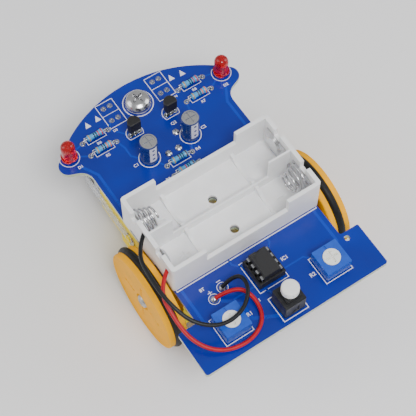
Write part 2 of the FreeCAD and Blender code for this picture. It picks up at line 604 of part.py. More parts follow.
gear_case = box(GB_U0, GB_U1, GB_Y0, GB_Y1, gz0, gz1)
gear_case = gear_case.makeFillet(2.0, [e for e in gear_case.Edges
                                       if abs(e.Vertexes[0].Y - e.Vertexes[-1].Y) > 1 and e.Vertexes[0].X < U(GB_U0) + 1])
sleeve = box(GB_U1 - 3, SLEEVE_U1, GB_Y0, GB_Y1, gz0, gz1)
sleeve = sleeve.makeFillet(5.0, [e for e in sleeve.Edges if abs(e.Vertexes[0].X - e.Vertexes[-1].X) > 1])
case = gear_case.fuse(sleeve).removeSplitter()
tab = box(TAB_U0 + 2.5, GB_U0 + 0.5, GB_YM - 1.5, GB_YM + 1.5, AXLE_Z - 2.5, AXLE_Z + 2.5)
tab = tab.fuse(ycyl(TAB_U0 + 2.5, AXLE_Z, 2.5, GB_YM - 1.5, GB_YM + 1.5))
case = case.fuse(tab)
HOLE_U, HOLE_DZ = 58.3, 8.75
SCREWS = [(30.2, -8.4), (30.2, 8.4), (43.3, 9.0)]
# raised ring round the shaft and the locating peg on both faces, hook nubs for the strap
NUB_U = 60.2
for y0, y1 in ((GB_Y1, GB_Y1 + 0.8), (GB_Y0 - 0.8, GB_Y0)):
    case = case.fuse(ycyl(AXLE_U, AXLE_Z, 4.2, y0, y1))
    case = case.fuse(ycyl(NUB_U, AXLE_Z, 1.4, y0, y1))
case = case.fuse(ycyl(AXLE_U + 11.0, AXLE_Z, 1.9, GB_Y1, GB_Y1 + 1.2))
cavity = box(GB_U0 + WALL, 64.3, GB_Y0 + WALL, GB_Y1 - WALL, gz0 + WALL, gz1 - WALL)
keep = [ycyl(AXLE_U, AXLE_Z, 4.0, GB_Y0, 16.0), ycyl(AXLE_U, AXLE_Z, 4.0, 24.4, GB_Y1),
        ycyl(MID_U, AXLE_Z, 1.5, GB_Y0, 16.2), ycyl(MID_U, AXLE_Z, 1.9, 25.0, GB_Y1),
        ycyl(CROWN_U, AXLE_Z, 1.9, GB_Y0, 13.0), ycyl(CROWN_U, AXLE_Z, 1.7, 20.5, GB_Y1)]
for dz in (-HOLE_DZ, HOLE_DZ):
    keep.append(ycyl(HOLE_U, AXLE_Z + dz, 2.3, GB_Y0, GB_Y1))
for u, dz in SCREWS:
    keep.append(ycyl(u, AXLE_Z + dz, 1.7, GB_Y0, GB_Y1))
cavity = cavity.cut(Part.makeCompound(keep))
case = case.cut(cavity)
bores = [ycyl(AXLE_U, AXLE_Z, SHAFT_R + RUN, GB_Y0 - 2, GB_Y1 + 2),
         ycyl(MID_U, AXLE_Z, PIN_R, GB_Y0 + 0.8, GB_Y1 - 0.8),
         ycyl(CROWN_U, AXLE_Z, PIN_R, GB_Y0 + 0.8, GB_Y1 - 0.8),
         ycyl(TAB_U0 + 2.5, AXLE_Z, 1.5, GB_YM - 3, GB_YM + 3),
         xcyl(64.0, CAN_U0 + 0.1, GB_YM, AXLE_Z, 3.05),
         can_section(CAN_U0 - 0.02, SLEEVE_U1 + 1, CAN_R + 0.02, CAN_FLAT + 0.02)]
for dz in (-HOLE_DZ, HOLE_DZ):
    bores.append(ycyl(HOLE_U, AXLE_Z + dz, 1.5, GB_Y0 - 1, GB_Y1 + 1))
for u, dz in SCREWS:
    bores.append(ycyl(u, AXLE_Z + dz, 0.9, GB_Y0 - 1, GB_Y1 - 2.2))
    bores.append(ycyl(u, AXLE_Z + dz, 1.75, GB_Y0 - 1, GB_Y0 + 1.1))
for b in bores:
    case = case.cut(b)
big = 60
inner = case.common(box(0, 120, -big, GB_YM, -big, big * 2))
outer = case.common(box(0, 120, GB_YM, big, -big, big * 2))
inner = solid(inner.removeSplitter())
outer = solid(outer.removeSplitter())

screws = []
for u, dz in SCREWS:
    s = ycyl(u, AXLE_Z + dz, 1.65, GB_Y0 + 0.05, GB_Y0 + 1.1).fuse(ycyl(u, AXLE_Z + dz, 0.89, GB_Y0 + 1.0, GB_Y0 + 15.8))
    s = s.cut(box(u - 1.1, u + 1.1, GB_Y0 - 0.5, GB_Y0 + 0.55, AXLE_Z + dz - 0.22, AXLE_Z + dz + 0.22))
    s = s.cut(box(u - 0.22, u + 0.22, GB_Y0 - 0.5, GB_Y0 + 0.55, AXLE_Z + dz - 1.1, AXLE_Z + dz + 1.1))
    screws.append(s.removeSplitter())
gpins = [ycyl(MID_U, AXLE_Z, PIN_R - 0.005, GB_Y0 + 0.85, GB_Y1 - 0.85),
         ycyl(CROWN_U, AXLE_Z, PIN_R - 0.005, GB_Y0 + 0.85, GB_Y1 - 0.85)]

# output shaft with the last gear
gear = spur(N_BIG, M_OUT, AXLE_U, 20.9, 23.9, 0.75, 1.15, 0.10)
shaft = ycyl(AXLE_U, AXLE_Z, SHAFT_R, GB_Y0 + 0.3, 34.9)
for s in (-1, 1):
    z0, z1 = sorted((AXLE_Z + s * SHAFT_FLAT / 2.0, AXLE_Z + s * 5))
    shaft = shaft.cut(box(AXLE_U - 4, AXLE_U + 4, 28.4, 40, z0, z1))
shaft = shaft.cut(ycyl(AXLE_U, AXLE_Z, 1.12, 28.6, 40))
out = gear.fuse(shaft).fuse(ycyl(AXLE_U, AXLE_Z, 4.6, 20.6, 24.2))
for i in range(6):
    a = math.radians(60 * i + 30)
    out = out.cut(ycyl(AXLE_U + 6.1 * math.cos(a), AXLE_Z + 6.1 * math.sin(a), 0.8, 20, 25))
output_shaft = solid(out.removeSplitter())

# middle gear: 36-tooth wheel and 9-tooth pinion
mid = spur(N_BIG, M_MID, MID_U, 16.6, 19.2, 0.75, 1.15, 0.08)
mid = mid.fuse(spur(N_SMALL, M_OUT, MID_U, 19.2, 24.6, 0.8, 1.15, 0.10)).removeSplitter()
mid = mid.cut(ycyl(MID_U, AXLE_Z, PIN_R + RUN, 15, 26))
for i in range(5):
    a = math.radians(72 * i)
    mid = mid.cut(ycyl(MID_U + 4.1 * math.cos(a), AXLE_Z + 4.1 * math.sin(a), 0.8, 16, 19.3))
middle_gear = solid(mid)

# crown gear: face teeth driven by the motor pinion, 9-tooth pinion behind
pr = M_CROWN * N_SMALL / 2.0       # motor pinion pitch radius
cr = M_CROWN * N_CROWN / 2.0
tooth_top = GB_YM - pr + 0.24
tooth_root = GB_YM - pr - 0.42
crown = ycyl(CROWN_U, AXLE_Z, 6.05, 13.3, tooth_root)
teeth = []
for i in range(N_CROWN):
    a = 360.0 / N_CROWN * (i + 0.5)
    wt, wb = 0.14, 0.29             # half widths at the tip and the root
    f = Part.Face(Part.makePolygon([V(4.75, tooth_root - 0.1, -wb), V(4.75, tooth_root - 0.1, wb),
                                    V(4.75, tooth_top, wt), V(4.75, tooth_top, -wt), V(4.75, tooth_root - 0.1, -wb)]))
    t = f.extrude(V(1.15, 0, 0))
    t.rotate(V(0, 0, 0), V(0, 1, 0), a)
    t.translate(V(U(CROWN_U), 0, AXLE_Z))
    teeth.append(t)
crown = crown.fuse(teeth)
crown = crown.fuse(spur(N_SMALL, M_MID, CROWN_U, tooth_root - 0.2, 20.2, 0.8, 1.15, 0.08))
crown = crown.cut(ycyl(CROWN_U, AXLE_Z, PIN_R + RUN, 12, 22))
crown_gear = solid(crown)

# motor rotor: shaft, pinion, three-pole core, windings, commutator
ppts = gear_points(N_SMALL, M_CROWN, 0.75, 1.1, 0.10, phase=math.pi)
f = Part.Face(Part.makePolygon([V(0, a, b) for a, b in ppts] + [V(0, ppts[0][0], ppts[0][1])]))
pinion = f.extrude(V(2.4, 0, 0))
pinion.translate(V(U(60.2), GB_YM, AXLE_Z))
pinion = pinion.cut(xcyl(59, 64, GB_YM, AXLE_Z, 1.0))
rshaft = xcyl(60.4, 90.6, GB_YM, AXLE_Z, 1.0)
core = xcyl(70.5, 81.5, GB_YM, AXLE_Z, 5.7).cut(xcyl(70, 82, GB_YM, AXLE_Z, 1.0))
wind = []
for i in range(3):
    a = 120 * i
    s = box(70, 82, GB_YM - 0.55, GB_YM + 0.55, AXLE_Z + 4.4, AXLE_Z + 7)
    s2 = box(70, 82, GB_YM - 2.6, GB_YM + 2.6, AXLE_Z + 2.2, AXLE_Z + 4.6)
    s = s.fuse(s2)
    s.rotate(V(0, GB_YM, AXLE_Z), V(1, 0, 0), a + 60)
    core = core.cut(s)
    w = box(69.3, 82.7, GB_YM - 2.4, GB_YM + 2.4, AXLE_Z + 2.35, AXLE_Z + 4.4)
    w.rotate(V(0, GB_YM, AXLE_Z), V(1, 0, 0), a + 60)
    wind.append(w)
comm = xcyl(84.0, 87.0, GB_YM, AXLE_Z, 2.2).cut(xcyl(83, 88, GB_YM, AXLE_Z, 1.0))
rotor = group([rshaft, pinion, solid(core), comm] + wind)

# can, magnets, end cap, terminals with their brushes
can = can_section(CAN_U0, CAN_U1, CAN_R, CAN_FLAT).cut(can_section(CAN_U0 + 0.6, CAN_U1 + 1, CAN_R - 0.6, CAN_FLAT - 0.6))
can = can.fuse(xcyl(CAN_U0 - 1.6, CAN_U0 + 0.3, GB_YM, AXLE_Z, 3.0))
can = can.cut(xcyl(CAN_U0 - 3, CAN_U0 + 2, GB_YM, AXLE_Z, 1.0 + RUN))
for s in (-1, 1):
    can = can.cut(box(CAN_U1 - 1.4, CAN_U1 + 1, GB_YM + s * 5.2 - 0.9, GB_YM + s * 5.2 + 0.9, AXLE_Z - 12, AXLE_Z + 12))
can = can.cut(box(81.5, 84.0, GB_YM - 12, GB_YM + 12, AXLE_Z - 3.0, AXLE_Z + 3.0))
motor_can = solid(can.removeSplitter())
mags = []
for s in (0, 180):
    m = xcyl(70.0, 82.5, GB_YM, AXLE_Z, 9.35).cut(xcyl(69, 84, GB_YM, AXLE_Z, 6.25))
    wedge = Part.Face(Part.makePolygon([V(U(69), GB_YM, AXLE_Z), V(U(69), GB_YM - 11, AXLE_Z + 14.5),
                                        V(U(69), GB_YM + 11, AXLE_Z + 14.5), V(U(69), GB_YM, AXLE_Z)])).extrude(V(15, 0, 0))
    m = m.common(wedge)
    m.rotate(V(0, GB_YM, AXLE_Z), V(1, 0, 0), s)
    mags.append(m)
ecap = can_section(CAN_U1 + 0.02, CAP_U1, 9.75, CAN_FLAT - 0.1)
ecap = ecap.fuse(can_section(CAN_U1 - 2.2, CAN_U1 + 0.1, CAN_R - 0.65, CAN_FLAT - 0.65))
ecap = ecap.fuse(xcyl(CAP_U1 - 0.1, CAP_U1 + 0.7, GB_YM, AXLE_Z, 2.9))
ecap = ecap.cut(xcyl(CAN_U1 - 4, CAN_U1 + 1.2, GB_YM, AXLE_Z, 6.4))
ecap = ecap.cut(xcyl(CAN_U1 - 4, CAP_U1 + 0.2, GB_YM, AXLE_Z, 1.0 + RUN))
# castellated edge
for i in range(12):
    a = math.radians(30 * i + 15)
    zz, yy = AXLE_Z + 9.9 * math.sin(a), GB_YM + 9.9 * math.cos(a)
    if abs(yy - GB_YM) < 7.0:
        ecap = ecap.cut(box(CAP_U1 - 2.6, CAP_U1 + 1, yy - 0.9, yy + 0.9, zz - 0.9, zz + 0.9))
for s in (-1, 1):
    for dz in (-5.4, 0.0, 5.4):
        ecap = ecap.cut(box(CAP_U1 - 2.2, CAP_U1 + 1, GB_YM + s * 7.6 - 0.55, GB_YM + s * 7.6 + 0.55, AXLE_Z + dz - 1.0, AXLE_Z + dz + 1.0))
    ecap = ecap.cut(box(CAN_U1 - 4, CAP_U1 + 2, GB_YM - 1.45, GB_YM + 1.45, AXLE_Z + s * 8.1 - 0.35, AXLE_Z + s * 8.1 + 0.35))
end_cap = solid(ecap.removeSplitter())
terms = []
for s in (-1, 1):
    zc = AXLE_Z + s * 8.1
    t = box(86.9, 93.5, GB_YM - 1.2, GB_YM + 1.2, zc - 0.2, zc + 0.2)
    t = t.cut(cyl(92.6, GB_YM, zc - 2, 0.5, 4))
    # brush arm inside the cap, running to the commutator
    if s > 0:
        arm = box(86.0, 86.35, GB_YM - 1.0, GB_YM + 1.0, AXLE_Z + 2.4, AXLE_Z + 5.6)
    else:
        arm = box(86.0, 86.35, GB_YM - 1.0, GB_YM + 1.0, AXLE_Z - 5.6, AXLE_Z - 2.4)
    terms.append(t)
    terms.append(arm)

# clear strap hooked over the two nubs
SO = GB_Y1 - GB_YM + 0.06
ST = 0.5


def strap_line(off):
    a = SO + off
    return [(57.0, GB_YM + a), (88.6, GB_YM + a), (92.08 + off, GB_YM + 8.1 + off * 0.5), (92.08 + off, GB_YM - 8.1 - off * 0.5),
            (88.6, GB_YM - a), (57.0, GB_YM - a)]


o = strap_line(ST)
n_ = strap_line(0.0)
ring = o + list(reversed(n_))
f = Part.Face(Part.makePolygon([V(U(a), b, AXLE_Z - 3.2) for a, b in ring] + [V(U(ring[0][0]), ring[0][1], AXLE_Z - 3.2)]))
strap = f.extrude(V(0, 0, 6.4))
strap = strap.cut(ycyl(NUB_U, AXLE_Z, 1.6, 0, 40))
# rounded hook ends
for y0 in (GB_Y0 - 1.2, GB_Y1 - 0.2):
    for s in (-1, 1):
        c = box(56.5, 58.2, y0, y0 + 1.4, AXLE_Z + (1.9 if s > 0 else -4), AXLE_Z + (4 if s > 0 else -1.9))
        c = c.cut(ycyl(58.6, AXLE_Z + s * 1.6, 1.6, y0 - 1, y0 + 3))
        strap = strap.cut(c)
strap = solid(strap.removeSplitter())

# wheel, running in the board's recess
wc = (WHEEL_Y0 + WHEEL_Y1) / 2.0
gpts = []
for i in range(0, 19):
    a = math.radians(180 * i / 18.0)
    gpts.append((TYRE_C - GROOVE_R * math.sin(a), wc - GROOVE_R * math.cos(a)))
gpts = [(r, h) for r, h in gpts if r < WHEEL_R - 0.01]
ga = math.asin((WHEEL_R - TYRE_C) / GROOVE_R)
gw = GROOVE_R * math.cos(ga)
wp = [(SHAFT_R + 1.4, WHEEL_Y0 + 0.2), (SHAFT_R + 1.4, 34.6), (13.9, 34.6), (13.9, WHEEL_Y0 + 0.4), (14.3, WHEEL_Y0),
      (17.6, WHEEL_Y0), (WHEEL_R, WHEEL_Y0 + 0.4), (WHEEL_R, wc - gw - 0.06)]
wp += [(r, h) for r, h in gpts]
wp += [(WHEEL_R, wc + gw + 0.06), (WHEEL_R, WHEEL_Y1 - 0.4), (17.6, WHEEL_Y1), (16.9, WHEEL_Y1), (16.4, WHEEL_Y1 - 0.35),
       (3.4, WHEEL_Y1 - 0.35), (3.1, 35.4), (0.0, 35.4), (0.0, WHEEL_Y0 + 0.2)]
# keep the flange tips outside the groove
wheel = lathe([(r, h) for r, h in wp], AXLE_U, 0, AXLE_Z, (0, 1, 0))
for i in range(4):
    rib = box(AXLE_U + 3.9, AXLE_U + 14.0, 31.6, 34.7, AXLE_Z - 0.6, AXLE_Z + 0.6)
    rib.rotate(V(U(AXLE_U), 0, AXLE_Z), V(0, 1, 0), 45 + 90 * i)
    wheel = wheel.fuse(rib)
cutw = []
for i in range(4):
    a = math.radians(90 * i)
    for r, hr in ((5.3, 0.55), (9.9, 0.6)):
        cutw.append(ycyl(AXLE_U + r * math.cos(a), AXLE_Z + r * math.sin(a), hr, 28, 40))
    for r in (5.3, 6.8, 8.4, 9.9):
        cutw.append(ycyl(AXLE_U + r * math.cos(a), AXLE_Z + r * math.sin(a), 0.45, 35.75, 40))
# double-flat bore for the shaft, then the screw's hole
bore = ycyl(AXLE_U, AXLE_Z, SHAFT_R + 0.01, 29, 34.92).common(box(AXLE_U - 4, AXLE_U + 4, 28, 40, AXLE_Z - SHAFT_FLAT / 2 - 0.01, AXLE_Z + SHAFT_FLAT / 2 + 0.01))
cutw += [bore, ycyl(AXLE_U, AXLE_Z, 1.15, 34, 36)]
wheel = wheel.cut(Part.makeCompound(cutw))
wheel = solid(wheel.removeSplitter())

tyre = Part.makeTorus(TYRE_C, TYRE_R, V(U(AXLE_U), wc, AXLE_Z), V(0, 1, 0))

wscrew = lathe([(0, 0), (2.5, 0), (2.5, 0.4), (2.2, 1.0), (1.4, 1.4), (0, 1.5)], AXLE_U, 35.4, AXLE_Z, (0, 1, 0))
wscrew = wscrew.fuse(ycyl(AXLE_U, AXLE_Z, 1.1, 29.2, 35.5))
for a in (0, 90):
    s = box(AXLE_U - 1.4, AXLE_U + 1.4, 36.2, 38, AXLE_Z - 0.25, AXLE_Z + 0.25)
    s.rotate(V(U(AXLE_U), 0, AXLE_Z), V(0, 1, 0), a + 30)
    wscrew = wscrew.cut(s)
wscrew = solid(wscrew.removeSplitter())

foam = box(30.5, 61.0, 10.5, 24.7, gz1, BOARD_Z)

BLK_M = [(93.75, 17.6, 27.1), (98.4, 15.0, 25.0), (98.9, 8.3, 23.9), (90.6, 5.2, 23.0), (83.0, 4.9, 26.0), (79.5, 4.6, 30.85)]
RED_M = [(93.75, 17.6, 10.9), (98.4, 17.4, 14.8), (98.5, 8.6, 21.4), (89.9, 3.4, 19.0), (81.6, 2.6, 21.4), (75.4, 2.6, 26.6),
         (73.8, 2.0, 31.0)]
MLEAD_D = 1.2
black_m = tube(BLK_M, MLEAD_D)
red_m = tube(RED_M, MLEAD_D)

for side, m in (("left", lambda s: s), ("right", flip)):
    parts[side + "_gearbox_inner"] = m(inner)
    parts[side + "_gearbox_outer"] = m(outer)
    parts[side + "_motor_can"] = m(motor_can)
    parts[side + "_motor_end_cap"] = m(end_cap)
    parts[side + "_motor_rotor"] = group([m(s) for s in rotor.Solids])
    parts[side + "_crown_gear"] = m(crown_gear)
    parts[side + "_middle_gear"] = m(middle_gear)
    parts[side + "_output_shaft"] = m(output_shaft)
    parts[side + "_wheel"] = m(wheel)
    parts[side + "_tyre"] = m(tyre)
    parts[side + "_wheel_screw"] = m(wscrew)
    parts[side + "_motor_strap"] = m(strap)
    parts[side + "_motor_lead_black"] = m(black_m)
    parts[side + "_motor_lead_red"] = m(red_m)

parts["gearbox_screws"] = group(screws + [flip(s) for s in screws])
parts["gear_pins"] = group(gpins + [flip(s) for s in gpins])
parts["motor_magnets"] = group(mags + [flip(s) for s in mags])
parts["motor_terminals"] = group(terms + [flip(s) for s in terms])
parts["foam_pads"] = group([foam, flip(foam)])

total = None
for name in sorted(parts):
    s = parts[name]
    s.exportStep("parts/" + name + ".step")
    bb = s.BoundBox
    ok = all(x.isValid() for x in s.Solids)
    print("%-26s solids %2d vol %9.2f  x %7.2f %7.2f  y %7.2f %7.2f  z %6.2f %6.2f %s" % (
        name, len(s.Solids), s.Volume, bb.XMin, bb.XMax, bb.YMin, bb.YMax, bb.ZMin, bb.ZMax, "" if ok else "INVALID"))
    if total is None:
        total = FreeCAD.BoundBox(bb)
    else:
        total.add(bb)
print("nodes", len(parts), "bbox", total)
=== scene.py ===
import bpy
import math
import random
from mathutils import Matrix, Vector


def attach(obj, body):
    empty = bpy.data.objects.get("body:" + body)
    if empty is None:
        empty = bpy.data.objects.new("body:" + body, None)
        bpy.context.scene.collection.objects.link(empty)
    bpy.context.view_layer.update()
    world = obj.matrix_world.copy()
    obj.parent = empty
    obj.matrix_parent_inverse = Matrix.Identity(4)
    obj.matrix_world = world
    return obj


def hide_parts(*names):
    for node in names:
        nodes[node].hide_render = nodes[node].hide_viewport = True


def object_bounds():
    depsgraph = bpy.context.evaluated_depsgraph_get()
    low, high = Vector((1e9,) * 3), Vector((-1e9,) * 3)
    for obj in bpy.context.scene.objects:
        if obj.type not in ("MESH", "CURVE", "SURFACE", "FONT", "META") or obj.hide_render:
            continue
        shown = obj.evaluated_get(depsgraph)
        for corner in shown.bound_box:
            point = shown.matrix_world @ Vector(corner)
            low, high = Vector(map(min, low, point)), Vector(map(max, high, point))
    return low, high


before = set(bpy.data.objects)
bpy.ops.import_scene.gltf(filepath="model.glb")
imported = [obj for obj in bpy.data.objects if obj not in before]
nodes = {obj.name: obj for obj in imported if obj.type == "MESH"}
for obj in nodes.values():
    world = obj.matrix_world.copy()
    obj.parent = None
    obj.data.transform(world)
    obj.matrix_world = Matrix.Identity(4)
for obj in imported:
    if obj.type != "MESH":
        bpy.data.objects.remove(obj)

BOUNDS_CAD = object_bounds()
random.seed(7)
MM = 0.001
LEN = 105.5
TOP = 32.85
LOW = 31.25
HOLD_Z = 33.65
mats = {}


def X(u):
    return u - LEN / 2.0


def lin(r, g, b):
    def f(c):
        c = c / 255.0
        return ((c + 0.055) / 1.055) ** 2.4 if c > 0.04045 else c / 12.92
    return (f(r), f(g), f(b), 1.0)


# ------------------------------------------------------------------ materials
def new_mat(name):
    m = bpy.data.materials.new(name)
    m.use_nodes = True
    nt = m.node_tree
    nt.nodes.clear()
    out = nt.nodes.new("ShaderNodeOutputMaterial")
    p = nt.nodes.new("ShaderNodeBsdfPrincipled")
    nt.links.new(p.outputs["BSDF"], out.inputs["Surface"])
    mats[name] = m
    return m, nt, p


def surface(name, rgb, rough=0.45, metal=0.0, vary=0.08, scale=400.0, bump=0.08, bscale=1500.0, rvary=0.08,
            coat=0.0, ior=1.5, trans=0.0, stretch=None, spec=0.5, sss=0.0, rgb2=None, dist=0.0001, speck=0.0):
    """A finish with a wandering tint, a mottled roughness and a fine relief, all in object space."""
    m, nt, p = new_mat(name)
    tc = nt.nodes.new("ShaderNodeTexCoord")
    mp = nt.nodes.new("ShaderNodeMapping")
    nt.links.new(tc.outputs["Object"], mp.inputs["Vector"])
    if stretch:
        mp.inputs["Scale"].default_value = stretch
    n1 = nt.nodes.new("ShaderNodeTexNoise")
    n1.inputs["Scale"].default_value = scale
    n1.inputs["Detail"].default_value = 5.0
    nt.links.new(mp.outputs["Vector"], n1.inputs["Vector"])
    r1 = nt.nodes.new("ShaderNodeValToRGB")
    c2 = rgb2 or tuple(list(max(0.0, c * (1 - vary)) for c in rgb[:3]) + [1.0])
    c1 = tuple(list(min(1.0, c * (1 + vary * 0.5)) for c in rgb[:3]) + [1.0])
    r1.color_ramp.elements[0].position = 0.32
    r1.color_ramp.elements[0].color = c2
    r1.color_ramp.elements[1].position = 0.68
    r1.color_ramp.elements[1].color = c1
    nt.links.new(n1.outputs["Fac"], r1.inputs["Fac"])
    nt.links.new(r1.outputs["Color"], p.inputs["Base Color"])
    n2 = nt.nodes.new("ShaderNodeTexNoise")
    n2.inputs["Scale"].default_value = bscale
    n2.inputs["Detail"].default_value = 6.0
    nt.links.new(mp.outputs["Vector"], n2.inputs["Vector"])
    mr = nt.nodes.new("ShaderNodeMapRange")
    mr.inputs["To Min"].default_value = max(0.03, rough - rvary)
    mr.inputs["To Max"].default_value = min(1.0, rough + rvary)
    nt.links.new(n1.outputs["Fac"], mr.inputs["Value"])
    nt.links.new(mr.outputs["Result"], p.inputs["Roughness"])
    bp = nt.nodes.new("ShaderNodeBump")
    bp.inputs["Strength"].default_value = bump
    bp.inputs["Distance"].default_value = dist
    nt.links.new(n2.outputs["Fac"], bp.inputs["Height"])
    nt.links.new(bp.outputs["Normal"], p.inputs["Normal"])
    p.inputs["Metallic"].default_value = metal
    p.inputs["Coat Weight"].default_value = coat
    p.inputs["Coat Roughness"].default_value = 0.08
    p.inputs["IOR"].default_value = ior
    p.inputs["Specular IOR Level"].default_value = spec
    p.inputs["Transmission Weight"].default_value = trans
    if sss:
        p.inputs["Subsurface Weight"].default_value = sss
        p.inputs["Subsurface Radius"].default_value = (0.0015, 0.001, 0.0006)
        p.inputs["Subsurface Scale"].default_value = 1.0
    return m


def by_normal(m, rgb, lo, hi, sign=None, metal=None, rough=None):
    """Repaints the faces whose normal's height lies between lo and hi."""
    nt = m.node_tree
    p = [n for n in nt.nodes if n.type == "BSDF_PRINCIPLED"][0]
    geo = nt.nodes.new("ShaderNodeNewGeometry")
    sep = nt.nodes.new("ShaderNodeSeparateXYZ")
    nt.links.new(geo.outputs["True Normal"], sep.inputs["Vector"])
    src = sep.outputs["Z"]
    if sign is None:
        ab = nt.nodes.new("ShaderNodeMath")
        ab.operation = "ABSOLUTE"
        nt.links.new(src, ab.inputs[0])
        src = ab.outputs[0]
    a = nt.nodes.new("ShaderNodeMath")
    a.operation = "GREATER_THAN"
    a.inputs[1].default_value = lo
    nt.links.new(src, a.inputs[0])
    b = nt.nodes.new("ShaderNodeMath")
    b.operation = "LESS_THAN"
    b.inputs[1].default_value = hi
    nt.links.new(src, b.inputs[0])
    k = nt.nodes.new("ShaderNodeMath")
    k.operation = "MULTIPLY"
    nt.links.new(a.outputs[0], k.inputs[0])
    nt.links.new(b.outputs[0], k.inputs[1])
    old = p.inputs["Base Color"].links[0].from_socket
    mx = nt.nodes.new("ShaderNodeMixRGB")
    mx.inputs["Color2"].default_value = rgb
    nt.links.new(k.outputs[0], mx.inputs["Fac"])
    nt.links.new(old, mx.inputs["Color1"])
    nt.links.new(mx.outputs["Color"], p.inputs["Base Color"])
    if metal is not None:
        mm = nt.nodes.new("ShaderNodeMath")
        mm.operation = "MULTIPLY"
        mm.inputs[1].default_value = metal
        nt.links.new(k.outputs[0], mm.inputs[0])
        nt.links.new(mm.outputs[0], p.inputs["Metallic"])
    return m


board_m = surface("board", lin(3, 36, 148), 0.3, vary=0.16, scale=55, bump=0.05, bscale=900, coat=0.3, rvary=0.05, dist=0.00006, spec=0.4)
by_normal(board_m, lin(176, 186, 160), -0.1, 0.5)
trace_m = surface("trace", lin(8, 54, 172), 0.28, vary=0.10, scale=120, bump=0.05, bscale=900, coat=0.3, rvary=0.05, spec=0.4)
silk_m = surface("silk", lin(226, 224, 236), 0.55, vary=0.10, scale=2600, bump=0.25, bscale=5200, rvary=0.1)
tin_m = surface("tin", lin(200, 202, 206), 0.26, metal=1.0, vary=0.14, scale=1500, bump=0.18, bscale=2600, rvary=0.12)
wire_m = surface("wire", lin(196, 198, 200), 0.25, metal=1.0, vary=0.1, scale=2500, bump=0.1, bscale=4200, stretch=(1, 1, 0.15))
nickel_m = surface("nickel", lin(206, 206, 208), 0.2, metal=1.0, vary=0.1, scale=700, bump=0.12, bscale=2600, rvary=0.08)
zinc_m = surface("zinc", lin(178, 180, 180), 0.34, metal=1.0, vary=0.14, scale=900, bump=0.15, bscale=3200)
can_m = surface("can", lin(186, 188, 190), 0.3, metal=1.0, vary=0.12, scale=300, bump=0.12, bscale=1500, stretch=(0.2, 1, 1), rvary=0.1)
copper_m = surface("copper", lin(214, 140, 82), 0.28, metal=1.0, vary=0.18, scale=900, bump=0.12, bscale=2600)
steel_m = surface("steel", lin(150, 150, 152), 0.34, metal=1.0, vary=0.14, scale=700, bump=0.2, bscale=2600, stretch=(6, 1, 1))
ferrite_m = surface("ferrite", lin(58, 58, 60), 0.6, vary=0.2, scale=1500, bump=0.3, bscale=2600)
yellow_m = surface("yellow", lin(252, 224, 0), 0.46, spec=0.12, vary=0.06, scale=160, bump=0.16, bscale=2300, rvary=0.07)
wheel_m = surface("wheel", lin(250, 176, 0), 0.5, spec=0.06, vary=0.09, scale=150, bump=0.14, bscale=2100, rvary=0.07)
tyre_m = surface("tyre", lin(11, 12, 13), 0.55, spec=0.3, vary=0.3, scale=700, bump=0.35, bscale=3000, rvary=0.14)
white_m = surface("holder", lin(240, 240, 241), 0.36, vary=0.04, scale=180, bump=0.12, bscale=1900, sss=0.12, rvary=0.08)
foam_m = surface("foam", lin(226, 226, 222), 0.85, vary=0.1, scale=1800, bump=0.9, bscale=3600)
socket_m = surface("socket", lin(22, 23, 25), 0.5, vary=0.25, scale=900, bump=0.3, bscale=3600)
chip_m = surface("chip", lin(30, 30, 32), 0.58, vary=0.2, scale=2600, bump=0.5, bscale=5200)
cap_black_m = surface("end_cap", lin(13, 14, 16), 0.42, vary=0.25, scale=700, bump=0.25, bscale=3000)
switch_m = surface("switch", lin(26, 27, 30), 0.42, vary=0.2, scale=700, bump=0.25, bscale=3000)
button_m = surface("button", lin(236, 236, 234), 0.34, vary=0.05, scale=300, bump=0.12, bscale=2500, sss=0.1)
trim_m = surface("trimmer", lin(26, 78, 186), 0.32, vary=0.1, scale=500, bump=0.2, bscale=2800, coat=0.2)
rotor_m = surface("rotor", lin(238, 238, 232), 0.42, vary=0.06, scale=700, bump=0.2, bscale=2800, sss=0.1)
res_m = surface("resistor", lin(66, 158, 212), 0.3, vary=0.12, scale=1200, bump=0.2, bscale=2600, coat=0.4)
sleeve_m = surface("sleeve", lin(24, 44, 108), 0.28, vary=0.14, scale=600, bump=0.18, bscale=2000, coat=0.35)
by_normal(sleeve_m, lin(205, 206, 208), 0.92, 1.1, sign=1, metal=1.0)
trans_m = surface("transistor", lin(26, 26, 28), 0.5, vary=0.2, scale=2000, bump=0.4, bscale=4200)
led_red_m = surface("led_red", lin(235, 22, 30), 0.12, vary=0.08, scale=500, bump=0.04, bscale=1800, trans=0.72, ior=1.5, rvary=0.04)
led_clear_m = surface("led_clear", lin(238, 243, 248), 0.08, vary=0.03, scale=500, bump=0.04, bscale=1800, trans=0.92, ior=1.5, rvary=0.03)
ldr_m = surface("ldr", lin(226, 204, 150), 0.3, vary=0.1, scale=1200, bump=0.15, bscale=2600, coat=0.5)
ldr_track_m = surface("ldr_track", lin(150, 66, 40), 0.45, vary=0.2, scale=2000, bump=0.2, bscale=3600)
red_m = surface("lead_red", lin(176, 14, 26), 0.42, spec=0.35, vary=0.14, scale=350, bump=0.16, bscale=2600, rvary=0.08)
black_m = surface("lead_black", lin(16, 18, 21), 0.42, spec=0.35, vary=0.25, scale=350, bump=0.16, bscale=2600, rvary=0.08)
nylon_m = surface("nylon", lin(238, 236, 226), 0.36, vary=0.05, scale=300, bump=0.14, bscale=2300, sss=0.15)
strap_m = surface("strap", lin(244, 247, 250), 0.1, vary=0.03, scale=300, bump=0.05, bscale=900, trans=0.93, ior=1.45, rvary=0.04)
wind_m = surface("winding", lin(190, 92, 40), 0.35, metal=0.8, vary=0.25, scale=900, bump=0.5, bscale=3000, stretch=(6, 1, 1))
dark_m = surface("dark", lin(16, 16, 18), 0.7, vary=0.3, scale=900, bump=0.2, bscale=2600)
